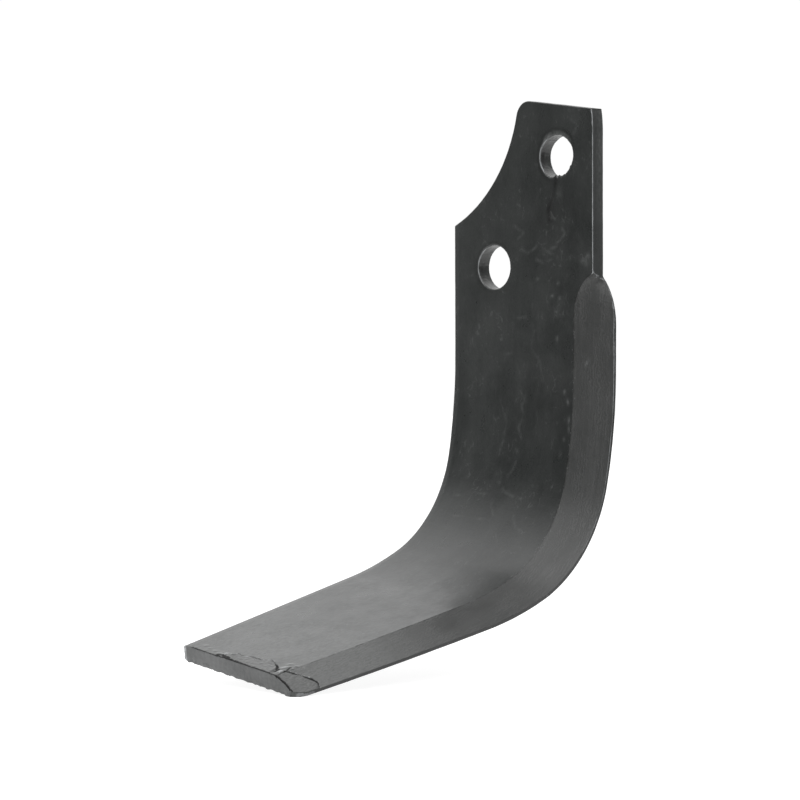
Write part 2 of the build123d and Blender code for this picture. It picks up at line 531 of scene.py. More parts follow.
@dataclass
class Strand:
    """A thin thread of dried paint that stands a little proud, drawn on the blank in millimetres."""

    path: Pairs
    strength: float = 0.6
    half_width: float = 0.46
    room: float = 2.5
    waver: Ripple = Ripple(0.5, (2.0, 2.6), 41.0)
    fade: Ripple = Ripple(1.0, (2.6, 3.2), 42.0)
    box: tuple[float, float, float, float] = field(init=False)

    def __post_init__(self) -> None:
        """Work out the box that the strand lies in, with room round it."""
        across, down = zip(*self.path, strict=True)
        room = self.room
        self.box = (min(across) - room, max(across) + room, min(down) - room, max(down) + room)

    def gap(self, across: float, down: float) -> float:
        """Return the distance from a place on the blank to the strand, both in millimetres.

        Args:
            across: Place across the blank, in millimetres.
            down: Place down the blank, in millimetres.

        Returns:
            The distance, or a large one where the place is outside the strand's box.
        """
        left, right, top, bottom = self.box
        if not (left < across < right and top < down < bottom):
            return FAR
        place = Vector((across, down))
        stretches = zip(self.path, self.path[1:], strict=False)
        return min(gap_to(place, Vector(start), Vector(end)) for start, end in stretches)

    def at(self, across: float, down: float) -> float:
        """Return the strand's strength at a place on the blank, in millimetres.

        Args:
            across: Place across the blank, in millimetres.
            down: Place down the blank, in millimetres.

        Returns:
            The strength, less than zero where the strand is darker.
        """
        if self.gap(across, down) > self.room:
            return 0.0
        gap = self.gap(across + self.waver.at(across, down), down)
        fade = ease(self.fade.at(across, down), -0.45, 0.15)
        return self.strength * fade * hump(gap, 0.0, self.half_width)


@dataclass(frozen=True)
class CutEnd:
    """The sheared end of the leg: lifted scale on top, a crack along its edge and a torn lower edge.

    The outlines, lumps, strokes and rim widths are in millimetres of the blank, the rest in metres.
    """

    bar: BentBar = BentBar()
    leg_end: float = 219.6 * MM
    end_slope: float = radians(8.4)
    zone: float = 14.0 * MM
    sunk: float = 0.26 * MM
    mottle: Ripple = Ripple(0.09 * MM, (0.9 * MM, 0.8 * MM), 28.0)
    lumpy: Ripple = Ripple(0.12 * MM, (1.3 * MM, 1.1 * MM), 22.0)
    rim_depth: float = 0.55
    rim_waver: Ripple = Ripple(0.5, (1.6 * MM, 1.0), 23.0)
    cut_zone: float = 0.6 * MM
    saw_marks: Ripple = Ripple(0.07 * MM, (1.4 * MM, 0.9 * MM), 24.0)
    torn_height: float = 0.30 * MM
    torn: Ripple = Ripple(1.0, (1.8 * MM, 1.5 * MM), 25.0)
    ragged_height: float = 0.34 * MM
    ragged: Ripple = Ripple(1.0, (2.3 * MM, 1.0), 26.0)
    jagged: Ripple = Ripple(0.6, (0.9 * MM, 1.0), 30.0)
    burr_from: Pair = (13.5 * MM, 16.5 * MM)
    burr_until: Pair = (19.5 * MM, 17.0 * MM)
    burr_drop: float = 0.95 * MM
    burr_reach: float = 0.45 * MM
    burr_knobs: Ripple = Ripple(0.6, (0.8 * MM, 0.8 * MM), 27.0)
    broad_stray: Ripple = Ripple(0.26 * MM, (1.6 * MM, 1.6 * MM), 21.0)
    fine_stray: Ripple = Ripple(0.16 * MM, (0.7 * MM, 0.7 * MM), 20.0)
    scale_rim_breaks: Ripple = Ripple(1.0, (1.2 * MM, 1.0 * MM), 61.0)
    crack_fade: Ripple = Ripple(1.0, (3.0 * MM, 2.6 * MM), 29.0)
    stroke_width: float = 0.42
    scale: tuple[LiftedScale, ...] = (
        LiftedScale(
            ((-15.5, 222.6), (-14.6, 219.6), (-12.4, 217.4), (-9.7, 218.2), (-6.7, 217.4), (-2.6, 217.9),
             (0.0, 216.6), (4.0, 218.7), (6.6, 221.4), (7.4, 226.4)),
            0.22 * MM,
            0.40 * MM,
        ),
        LiftedScale(
            ((10.5, 226.8), (10.3, 223.6), (10.6, 221.6), (12.8, 220.2), (15.0, 218.8), (17.0, 217.7),
             (19.0, 217.8), (20.3, 219.0), (20.9, 221.0), (20.4, 223.4), (19.2, 225.6), (18.0, 228.0)),
            0.17 * MM,
            0.42 * MM,
        ),
    )
    lumps: tuple[Mark, ...] = (
        Mark(-15.4, 219.4, 0.9, 0.8, 0.0, 0.42),
        Mark(-13.3, 218.6, 0.9, 0.5, 0.0, 0.34),
        Mark(-17.6, 220.0, 0.7, 0.5, 0.0, 0.28),
        Mark(-20.5, 219.0, 0.6, 0.5, 0.0, 0.16),
        Mark(-26.0, 216.8, 0.7, 0.6, 0.0, 0.15),
        Mark(-23.6, 218.0, 0.5, 0.5, 0.0, 0.14),
        Mark(8.0, 219.6, 0.7, 1.5, radians(-20.0), 0.34),
        Mark(9.2, 222.8, 0.7, 1.4, radians(-12.0), 0.46),
        Mark(7.4, 216.6, 0.8, 0.8, 0.0, 0.26),
        Mark(10.2, 217.0, 0.5, 0.5, 0.0, 0.24),
        Mark(12.4, 215.9, 0.5, 0.5, 0.0, 0.22),
        Mark(10.4, 219.4, 0.5, 0.6, 0.0, 0.24),
    )
    # Dark strokes along the lifted edges of the scale: painted shade.
    strokes: tuple[Strand, ...] = (
        Strand(((10.2, 221.9), (11.6, 221.0), (12.8, 220.3)), 1.0),
        Strand(((15.0, 219.0), (16.6, 218.3), (18.4, 217.7)), 1.1),
        Strand(((-14.9, 221.6), (-13.4, 221.3), (-12.2, 221.7)), 1.1),
        Strand(((-7.0, 217.5), (-4.4, 217.9), (-2.4, 217.8)), 0.7),
        Strand(((-17.6, 221.1), (-15.9, 220.5), (-14.6, 221.0)), 0.9),
        Strand(((9.4, 218.6), (10.0, 220.8)), 0.8),
        Strand(((7.4, 221.4), (7.8, 223.6)), 0.8),
        Strand(((4.2, 219.0), (5.9, 220.3), (6.9, 221.8)), 0.9),
    )
    # Widths of the crack along the end's top edge, which is sunk and also painted dark as painted shade.
    rim: Pairs = (
        (-31.0, 0.0), (-29.0, 0.28), (-18.0, 0.30), (-15.0, 0.66), (-8.0, 0.50), (-3.0, 0.30),
        (7.0, 0.28), (9.5, 0.56), (19.0, 0.50), (21.5, 0.2),
    )

    def before_end(self, flat: Vector) -> float:
        """Return how far short of the end cut a flat place lies."""
        across = flat.x - self.bar.blunt_side
        return (self.leg_end + across * tan(self.end_slope) + flat.z) * cos(self.end_slope)

    def rim_width(self, across: float) -> float:
        """Return the width of the crack along the end's top edge, at a place across the blank in metres.

        Args:
            across: The place across the blank.

        Returns:
            The width, in metres.
        """
        place = across / MM
        for (start, first), (end, second) in zip(self.rim, self.rim[1:], strict=False):
            if start <= place < end:
                return (first + (second - first) * (place - start) / (end - start)) * MM
        return 0.0

    def ragged_rim(self, across: float) -> float:
        """Return the width of that crack with its ragged line, at a place across the blank."""
        return self.rim_width(across) * (1.0 + self.rim_waver.at(across, 0.0))

    def lump_at(self, flat: Vector) -> float:
        """Return how high the lumps stand at a flat place."""
        return sum(lump.at(flat.x / MM, -flat.z / MM) for lump in self.lumps) * MM

    def stray(self, flat: Vector) -> float:
        """Return how far the outline of a patch of scale strays from its drawn line."""
        return self.broad_stray.at(flat.x, -flat.z) + self.fine_stray.at(flat.x, -flat.z)

    def depth_in(self, patch: LiftedScale, flat: Vector) -> float:
        """Return how far inside a patch of scale a flat place lies, less than zero outside it."""
        return patch.inside(flat.x, -flat.z) + self.stray(flat)

    def scale_rim_highlight_at(self, flat: Vector) -> float:
        """Return a painted highlight in a ragged line just outside the lifted scale.

        Args:
            flat: The flat place.

        Returns:
            The share, from 0 to 1.
        """
        depth = max(self.depth_in(patch, flat) for patch in self.scale)
        line = ease(depth, -1.1 * MM, -0.6 * MM) * ease(depth, -0.30 * MM, -0.50 * MM)
        ragged = ease(self.scale_rim_breaks.at(flat.x, -flat.z), -0.05, 0.25)
        return 0.8 * line * ragged

    def crack_shade_at(self, flat: Vector) -> float:
        """Return how deep in a crack of the scale, a dark stroke or the crack along the end's top edge a
        flat place lies, which the paint darkens as painted shade.

        Args:
            flat: The flat place.

        Returns:
            The share of the deepest crack there, from 0 to 1.
        """
        short = self.before_end(flat)
        if short > self.zone:
            return 0.0
        deepest = 0.0
        for patch in self.scale:
            depth = self.depth_in(patch, flat)
            weight = 0.25 + 0.75 * ease(self.crack_fade.at(flat.x, -flat.z), -0.1, 0.35)
            line = ease(depth, -patch.crack, -0.12 * MM) * ease(depth, 0.10 * MM, -0.06 * MM)
            deepest = max(deepest, line * weight)
        for stroke in self.strokes:
            gap = stroke.gap(flat.x / MM, -flat.z / MM)
            deepest = max(deepest, min(stroke.strength * hump(gap, 0.0, self.stroke_width), 1.0))
        width = self.ragged_rim(flat.x)
        rim = ease(short, width + 0.12 * MM, width * 0.8) * ease(width, 0.0, 0.25 * MM)
        return max(deepest, rim)

    def shift_at(self, flat: Vector, normal: Vector) -> Vector:
        """Return how the scale, the crack and the torn edge move a vertex near the end of the leg.

        Args:
            flat: The flat place.
            normal: The normal of the flat blank there.

        Returns:
            The shift.
        """
        short = self.before_end(flat)
        behind = flat.y + self.bar.thickness
        shift = Vector((0.0, 0.0, 0.0))
        if faces_front(normal):
            self._lift_scale(flat, shift)
            lumpy = max(self.lumpy.at(flat.x, -flat.z), 0.0)
            shift.y -= lumpy * ease(short, 5.0 * MM, 1.5 * MM)
            shift.y -= self.lump_at(flat)
            width = self.ragged_rim(flat.x)
            shift.y += self.rim_depth * width * ease(short, width + 0.15 * MM, width * 0.4)
        if short < self.cut_zone:
            torn = ease(behind, 2.6 * MM, 4.6 * MM)
            out = self.saw_marks.at(flat.x, flat.y)
            out += self.torn_height * torn * self.torn.at(flat.x, flat.y)
            shift.z -= out
            if behind > 4.0 * MM:
                ragged = self.ragged.at(flat.x, 0.0) + self.jagged.at(flat.x, 0.0)
                shift.y += self.ragged_height * ragged
        burr = ease(flat.x, *self.burr_from) * ease(flat.x, *self.burr_until)
        burr *= ease(short, 2.4 * MM, 0.3 * MM) * ease(behind, 1.0 * MM, 4.5 * MM)
        if burr > 0.0:
            knob = 0.8 + self.burr_knobs.at(flat.x, behind)
            shift += Vector((0.0, self.burr_drop, -self.burr_reach)) * (burr * knob)
        return shift

    def _lift_scale(self, flat: Vector, shift: Vector) -> None:
        """Add the rise of the lifted scale and the crack round it to a shift.

        Args:
            flat: The flat place.
            shift: The shift, which is changed.
        """
        for patch in self.scale:
            depth = self.depth_in(patch, flat)
            rise = patch.lift * ease(depth, 0.0, 0.25 * MM)
            sunk = self.sunk * ease(depth, -patch.crack, -0.05 * MM) * ease(depth, 0.12 * MM, -0.05 * MM)
            mottle = self.mottle.at(flat.x, -flat.z)
            shift.y -= rise - sunk + mottle * ease(depth, 0.0, 0.4 * MM)


@dataclass
class TillerBlade:
    """The whole blade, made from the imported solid.

    The marks, the strands and the three limits that end in until or reach are in millimetres of the
    blank, the rest in metres.
    """

    bar: BentBar = field(default_factory=BentBar)
    bevel: ForgedBevel = field(default_factory=ForgedBevel)
    end: CutEnd = field(default_factory=CutEnd)
    # The upper hole's crescent and strength also set its painted light and shade.
    upper_hole: PunchedHole = PunchedHole(
        13.975 * MM,
        17.506 * MM,
        film=0.14 * MM,
        top_run=0.5 * MM,
        lump=1.15 * MM,
        crescent=0.55,
        shading_strength=1.0,
    )
    lower_hole: PunchedHole = PunchedHole(-13.975 * MM, -17.506 * MM, top_run=0.08 * MM)
    shoulder: float = 2.4 * MM
    shoulder_drop: float = 0.20 * MM
    nick: Pair = (29.8 * MM, 35.6 * MM)
    cell: float = 1.0 * MM
    back_cell: float = 2.4 * MM
    wall_cell: float = 0.45 * MM
    merge: float = 0.03 * MM
    marked_until: float = 110.0
    edge_light_until: float = 108.0
    strand_reach: float = 1.3
    flat_turn: float = radians(0.25)
    face_weight: int = 90
    corner_turn: float = radians(40.0)
    border_turn: float = radians(6.0)
    roll_wave: Ripple = Ripple(0.02 * MM, (11.0 * MM, 17.0 * MM), 1.0)
    shear_wave: Ripple = Ripple(0.035 * MM, (2.4 * MM, 3.4 * MM), 2.0)
    thread_height: float = 0.06 * MM
    nick_depth: float = 0.8 * MM
    nick_width: float = 0.6 * MM
    side_streaks: Ripple = Ripple(0.24, (0.8 * MM, 30.0 * MM), 51.0)
    scale_mottle: Ripple = Ripple(0.3, (0.8 * MM, 0.8 * MM), 52.0)
    # How much lighter the lumps by the end are painted for their height: a painted highlight.
    lump_highlight: float = 2.2
    marks: tuple[Mark, ...] = (
        Mark(11.6, 1.0, 1.7, 3.2, 0.0, -0.45),
        Mark(15.4, -5.8, 1.3, 2.6, radians(8.0), 0.20),
        Mark(25.2, 16.0, 1.0, 1.2, 0.0, 0.30),
        Mark(27.6, 14.6, 1.1, 1.0, 0.0, 0.50),
        Mark(27.2, 16.6, 1.1, 0.9, 0.0, 0.45),
        Mark(23.0, -29.0, 5.0, 6.5, 0.0, 0.12),
        Mark(15.0, 31.0, 3.4, 1.2, radians(62.0), 0.18),
        Mark(-10.8, 40.9, 0.5, 0.6, 0.0, 0.40),
        Mark(-21.9, 38.8, 0.8, 0.4, 0.0, 0.30),
        Mark(12.1, 27.0, 0.6, 0.5, 0.0, 0.75),
        Mark(15.4, 27.7, 0.5, 0.5, 0.0, 0.70),
        Mark(14.7, 22.9, 0.5, 0.6, 0.0, 0.45),
        Mark(5.7, 21.5, 0.7, 0.5, 0.0, 0.35),
        Mark(14.2, 40.6, 0.5, 0.9, 0.0, 0.65),
        Mark(17.6, 57.6, 0.5, 0.7, 0.0, 0.60),
        Mark(19.2, 60.7, 0.5, 0.9, 0.0, 0.75),
        Mark(19.9, 66.6, 0.4, 1.2, 0.0, 0.55),
        Mark(20.2, 69.6, 0.4, 0.9, 0.0, 0.60),
        Mark(18.4, 72.6, 0.4, 0.7, 0.0, 0.60),
        Mark(17.4, 77.6, 0.5, 1.0, 0.0, 0.35),
        Mark(-23.4, 92.9, 1.4, 0.4, 0.0, 0.25),
        Mark(-13.4, 91.7, 2.0, 0.4, 0.0, 0.28),
        Mark(-19.9, 100.6, 2.4, 0.4, 0.0, 0.22),
        Mark(-9.8, 101.0, 2.0, 0.5, 0.0, 0.22),
        Mark(25.9, 48.4, 0.4, 1.1, radians(-34.0), 0.75),
    )
    strands: tuple[Strand, ...] = (
        Strand(((13.9, -9.9), (12.6, -6.8), (11.7, -3.6), (10.8, -0.5), (11.2, 2.6)), -0.75, 0.9),
        Strand(
            ((-1.6, 57.6), (0.4, 60.6), (-1.2, 62.4), (0.2, 65.0), (-0.9, 67.6), (-1.9, 69.5), (-0.3, 72.8)),
            0.28,
        ),
        Strand(((-8.2, 65.2), (-6.9, 68.7), (-8.0, 71.1), (-8.7, 75.6), (-9.4, 78.9)), 0.24),
        Strand(((-7.4, 87.5), (-4.2, 90.7), (-0.9, 91.9), (3.8, 92.7)), 0.26),
        Strand(((-8.6, 92.7), (-7.4, 96.6), (-4.9, 99.4), (-5.5, 101.4)), 0.20),
        Strand(((-2.6, 73.5), (-0.9, 78.6), (-2.4, 82.9), (-4.0, 85.6)), 0.24),
        Strand(((3.0, 98.8), (5.8, 103.1), (9.0, 104.0)), 0.20),
        Strand(((4.1, 38.2), (2.7, 43.4), (6.3, 47.5), (5.1, 49.5)), 0.18),
        Strand(((-3.1, 34.0), (2.7, 33.5)), 0.24),
        Strand(((-9.5, 45.4), (-5.9, 45.5)), 0.26),
        Strand(((-4.8, 4.1), (-0.8, 6.6), (-3.0, 8.5)), 0.26),
        Strand(((15.6, 4.6), (17.8, 7.0), (15.6, 9.5), (14.3, 11.1), (10.8, 12.0)), 0.30),
        Strand(((-1.9, 11.8), (1.4, 13.1), (6.4, 10.3), (8.6, 12.0), (14.3, 14.6)), 0.32),
        Strand(((5.0, 15.1), (8.6, 16.4), (12.1, 15.2)), 0.26),
        Strand(((22.9, -30.6), (24.0, -31.6), (25.2, -30.4), (24.0, -29.2), (22.9, -30.6)), 0.42),
        Strand(((20.5, -29.0), (23.4, -26.6), (21.6, -24.4)), 0.20),
        Strand(((6.5, 46.0), (7.6, 52.0), (9.4, 57.0)), 0.16),
    )

    def make(self) -> bpy.types.Object:
        """Return the finished blade, linked to the scene and still without its paint."""
        mesh = bmesh.new()
        mesh.from_mesh(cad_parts["tiller_blade"].data)
        bmesh.ops.remove_doubles(mesh, verts=mesh.verts, dist=TOUCH)
        for vert in mesh.verts:
            vert.co = self.bar.unbend(vert.co)
        bmesh.ops.dissolve_limit(
            mesh,
            angle_limit=self.flat_turn,
            use_dissolve_boundaries=False,
            verts=mesh.verts,
            edges=mesh.edges,
            delimit=set(),
        )
        self.cut_grid(mesh)
        self.sort_skins(mesh)
        self.work_surface(mesh)
        places = [vert.co.copy() for vert in mesh.verts]
        mesh.verts.index_update()
        for vert in mesh.verts:
            vert.co = self.bar.bend(vert.co)
        mesh.normal_update()
        data = bpy.data.meshes.new("painted_blade")
        mesh.to_mesh(data)
        mesh.free()
        self.write_places(data, places)
        blade = bpy.data.objects.new("painted_blade", data)
        bpy.context.scene.collection.objects.link(blade)
        flat_faces = blade.modifiers.new("flat_faces", "WEIGHTED_NORMAL")
        flat_faces.keep_sharp = True
        flat_faces.weight = self.face_weight
        return blade

    def cut_grid(self, mesh: bmesh.types.BMesh) -> None:
        """Cut the unbent solid into small even cells.

        They are finer on the bevel, round the holes, under the small marks and at the end of the leg,
        and coarser on the back.

        Args:
            mesh: The unbent solid.
        """
        low = Vector(map(min, zip(*(vert.co for vert in mesh.verts), strict=True)))
        high = Vector(map(max, zip(*(vert.co for vert in mesh.verts), strict=True)))
        faces = slice_faces(mesh, list(mesh.faces), 2, even_places(low.z, high.z, self.cell))
        shoulder = [low.x + step * self.shoulder for step in (0.25, 0.5, 0.75, 1.0)]
        faces = slice_faces(mesh, faces, 0, shoulder)
        mesh.normal_update()
        plain_back = {face for face in faces if face.normal.y > 0.98}
        faces = [face for face in faces if face not in plain_back]
        slice_faces(mesh, list(plain_back), 0, even_places(low.x, high.x, self.back_cell))
        faces = slice_faces(mesh, faces, 0, even_places(low.x, high.x, self.cell))
        mesh.normal_update()
        walls = [face for face in faces if abs(face.normal.y) < 0.7]
        slice_faces(mesh, walls, 1, even_places(low.y, high.y, self.wall_cell))
        mesh.normal_update()
        bevel = [face for face in mesh.faces if self.on_bevel(face)]
        across = {edge for face in bevel for edge in face.edges if self.runs_across(edge)}
        bmesh.ops.subdivide_edges(mesh, edges=list(across), cuts=1, use_grid_fill=True)
        for hole in (self.upper_hole, self.lower_hole):
            self.divide(mesh, [face for face in mesh.faces if hole.near(face)], 1)
        self.divide(mesh, [face for face in mesh.faces if self.is_marked(face)], 1)
        self.divide(mesh, [face for face in mesh.faces if self.at_end(face)], 2)
        bmesh.ops.remove_doubles(mesh, verts=mesh.verts, dist=self.merge)
        mesh.normal_update()
        many = [face for face in mesh.faces if len(face.verts) > 4]
        bmesh.ops.poke(mesh, faces=[face for face in many if self.is_open(face)], center_mode="MEAN")
        bmesh.ops.triangulate(mesh, faces=[face for face in mesh.faces if len(face.verts) > 4])
        mesh.normal_update()

    def divide(self, mesh: bmesh.types.BMesh, faces: list[Face], cuts: int) -> None:
        """Divide all the edges of some faces evenly and fill the cells between."""
        edges = {edge for face in faces for edge in face.edges}
        bmesh.ops.subdivide_edges(mesh, edges=list(edges), cuts=cuts, use_grid_fill=True)

    def is_open(self, face: Face) -> bool:
        """Return whether no corner of a face points inwards."""
        return all(loop.is_convex or loop.calc_angle() > radians(178.0) for loop in face.loops)

    def is_marked(self, face: Face) -> bool:
        """Return whether a face of the inner side lies under a strand or a small mark.

        Args:
            face: A face of the unbent solid.

        Returns:
            True where it does.
        """
        middle = face.calc_center_median() / MM
        if face.normal.y > -0.5 or middle.z < -self.marked_until:
            return False
        if any(strand.gap(middle.x, -middle.z) < self.strand_reach for strand in self.strands):
            return True
        return any(mark.near(middle.x, -middle.z) for mark in self.marks)

    def runs_across(self, edge: bmesh.types.BMEdge) -> bool:
        """Return whether an edge runs across the blank rather than down it."""
        side = edge.verts[1].co - edge.verts[0].co
        return abs(side.x) > 2.0 * abs(side.z)

    def on_bevel(self, face: Face) -> bool:
        """Return whether a face of the unbent solid belongs to the forged bevel.

        Args:
            face: The face.

        Returns:
            True where it does.
        """
        middle = face.calc_center_median()
        tilted = -0.9995 < face.normal.y < -0.2
        down = -middle.z
        return tilted and down > self.bevel.start and middle.x > self.bevel.border(down) - self.bevel.room

    def at_end(self, face: Face) -> bool:
        """Return whether a face lies on the inner side of the last stretch of the leg or on its end."""
        short = self.end.before_end(face.calc_center_median())
        return short < self.end.zone and (face.normal.y < -0.5 or short < 0.5 * MM)

    def sort_skins(self, mesh: bmesh.types.BMesh) -> None:
        """Give each face the slot of its skin, and keep the true corners of the metal sharp.

        Args:
            mesh: The unbent solid, cut to its grid.
        """
        for face in mesh.faces:
            middle = face.calc_center_median()
            face.smooth = True
            face.material_index = Skin.ROLLED.value
            if self.on_bevel(face):
                face.material_index = Skin.BEVEL.value
            elif self.end.before_end(middle) < 0.2 * MM and abs(face.normal.z) > 0.5:
                face.material_index = Skin.SHEARED.value
        for edge in mesh.edges:
            if len(edge.link_faces) != 2:
                continue
            first, second = edge.link_faces
            turn = edge.calc_face_angle(0.0)
            skins = {first.material_index, second.material_index}
            border = Skin.BEVEL.value in skins and len(skins) == 2
            edge.smooth = not (turn > self.corner_turn or (border and turn > self.border_turn))

    def work_surface(self, mesh: bmesh.types.BMesh) -> None:
        """Move the vertices of the unbent solid to give the metal and paint their real unevenness.

        Args:
            mesh: The unbent solid, cut to its grid.
        """
        # The layers hold painted shade in the cracks, painted highlights and worn paint on the edges, the
        # gap to the bevel's border, and the marks with painted light and shade.
        for name in ("crack_shade", "edge_wear_and_highlight", "past_border", "marks"):
            mesh.verts.layers.float.new(name)
        layers = mesh.verts.layers.float
        shifts: list[tuple[Vert, Vector]] = []
        for vert in mesh.verts:
            front = faces_front(vert.normal)
            thread = self.strand_at(vert.co) if front else 0.0
            shift = self.shift_at(vert)
            shift.y -= self.thread_height * thread
            shifts.append((vert, shift))
            vert[layers["crack_shade"]] = self.end.crack_shade_at(vert.co) if front else 0.0
            vert[layers["edge_wear_and_highlight"]] = self.edge_wear_and_highlight_at(vert)
            gap = (vert.co.x - self.bevel.border(-vert.co.z)) / MM
            vert[layers["past_border"]] = gap if front else FAR
            vert[layers["marks"]] = thread + self.mark_and_shading_at(vert)
        for vert, shift in shifts:
            vert.co += shift

    def mark_and_shading_at(self, vert: Vert) -> float:
        """Return how much lighter or darker the paint is at a vertex, with the painted light and shade in
        and round the holes, on the side face and on the lumps by the end.

        Args:
            vert: A vertex of the unbent solid.

        Returns:
            The strength, less than zero where it is darker.
        """
        flat = vert.co
        down = -flat.z / MM
        mark = self.upper_hole.painted_shading(flat) + self.lower_hole.painted_shading(flat)
        # On the side face, painted light and shade: lighter towards the top, a painted highlight along its
        # rear edge, a painted shade band along its front edge, and darker from 45 mm down.
        if vert.normal.x > 0.7:
            streak = self.side_streaks.at(flat.y, down * MM)
            rear = hump(flat.y / MM, -1.1, 0.9)
            front = hump(flat.y / MM, -3.9, 0.6)
            mark += (0.25 + 0.18 * rear - 0.20 * front + streak) * ease(down, 22.0, -30.0)
            mark -= 0.6 * ease(down, 45.0, 70.0)
        if not faces_front(vert.normal):
            sheared = down > 200.0 and vert.normal.z < -0.5
            return mark + (0.25 * ease(flat.x, -4.0 * MM, 8.0 * MM) if sheared else 0.0)
        mark += sum(spot.at(flat.x / MM, down) for spot in self.marks)
        from_side = (flat.x - self.bar.blunt_side) / MM
        mark -= 0.25 * ease(from_side, 2.6, 1.4) * ease(down, 80.0, 110.0)
        mark += 0.34 * ease(down, 160.0, 200.0)
        if self.end.before_end(flat) < self.end.zone:
            # The lumps by the end are painted lighter as a painted highlight; the lifted scale is darker
            # inside.
            mark += self.lump_highlight * self.end.lump_at(flat) / MM
            for patch in self.end.scale:
                inside = ease(self.end.depth_in(patch, flat), 0.0, 0.3 * MM)
                mark -= inside * (0.18 + self.scale_mottle.at(flat.x, -flat.z))
        return mark

    def edge_wear_and_highlight_at(self, vert: Vert) -> float:
        """Return the painted highlight along the edges at a vertex, which also stands for paint worn thin
        there, from 0 on a flat to 1 on the brightest edge.

        Args:
            vert: A vertex of the unbent solid.

        Returns:
            The share.
        """
        down = -vert.co.z / MM
        normal = vert.normal
        short = self.end.before_end(vert.co)
        if short < self.end.zone:
            # Near the end: painted highlights along the blunt side's corner and on the tip, on the lumps,
            # and in a ragged line round the lifted scale.
            from_side = vert.co.x - self.bar.blunt_side
            strip = ease(from_side, 1.5 * MM, 0.7 * MM) * ease(short, 0.7 * MM, 0.3 * MM)
            tip = 0.60 * ease(down, 219.5, 221.5) * ease(normal.x, 0.3, 0.6)
            if not faces_front(normal):
                return max(strip, tip)
            lumps = self.lump_highlight * self.end.lump_at(vert.co) / MM
            return max(strip, lumps, self.end.scale_rim_highlight_at(vert.co))
        # A painted highlight along the top edge of the shank.
        if any(face.normal.z > 0.6 for face in vert.link_faces):
            return 0.9 if down < -38.0 and normal.y < 0.3 else 0.0
        if down > self.edge_light_until or not -0.99 < normal.y < -0.1:
            return 0.0
        # Painted highlights along the bevel's edge with its land and along the front edge of the shank.
        side = [face for face in vert.link_faces if face.normal.x > 0.3 and face.normal.y > -0.2]
        on_bevel = [face for face in vert.link_faces if face.material_index == Skin.BEVEL.value]
        if on_bevel:
            return 1.0 - 0.25 * ease(down, 60.0, 66.0) if side else 0.0
        if normal.x > 0.12:
            return 0.86 if 0.45 < normal.x < 0.9 else 0.45
        return 0.0

    def shift_at(self, vert: Vert) -> Vector:
        """Return how far a vertex of the unbent solid moves.

        Args:
            vert: A vertex of the unbent solid.

        Returns:
            The shift.
        """
        flat = vert.co
        normal = vert.normal
        down = -flat.z
        shift = normal * self.roll_wave.at(flat.x, down)
        skins = {face.material_index for face in vert.link_faces}
        from_side = flat.x - self.bar.blunt_side
        if from_side < self.shoulder:
            level = min(max(flat.y / self.bar.thickness * 2.0 + 1.0, -1.0), 1.0)
            shift.y -= self.shoulder_drop * level * (1.0 - from_side / self.shoulder)
        if skins == {Skin.BEVEL.value}:
            shift += normal * self.bevel.height(flat)
        if abs(normal.y) < 0.8 and len(skins) == 1:
            shift += normal * self.shear_wave.at(flat.x + flat.y, down)
        shift += self.upper_hole.paint(flat) + self.lower_hole.paint(flat)
        if faces_front(normal):
            gap = hypot(flat.x - self.nick[0], flat.z - self.nick[1])
            shift.z -= self.nick_depth * hump(gap, 0.0, self.nick_width)
        if self.end.before_end(flat) < self.end.zone:
            shift += self.end.shift_at(flat, normal)
        return shift

    def strand_at(self, flat: Vector) -> float:
        """Return how strongly a thread of paint stands at a flat place.

        Args:
            flat: The flat place.

        Returns:
            The strength, less than zero where the paint is darker.
        """
        if flat.z < -self.marked_until * MM:
            return 0.0
        strengths = [strand.at(flat.x / MM, -flat.z / MM) for strand in self.strands]
        return max(strengths) + min(min(strengths), 0.0)

    def write_places(self, data: bpy.types.Mesh, places: list[Vector]) -> None:
        """Write the flat place of every vertex, in millimetres, which the finishes read.

        Args:
            data: The finished mesh.
            places: The flat place of each vertex.
        """
        flat = data.attributes.new("flat_place", "FLOAT_VECTOR", "POINT")
        for index, place in enumerate(places):
            flat.data[index].vector = place / MM


@dataclass(frozen=True)
class Grain:
    """A noise over the flat place: its size on each axis in millimetres, and how finely it breaks up."""

    sizes: Triple
    shift: float = 0.0
    detail: float = 3.0
    rough: float = 0.55
    twist: float = 0.0


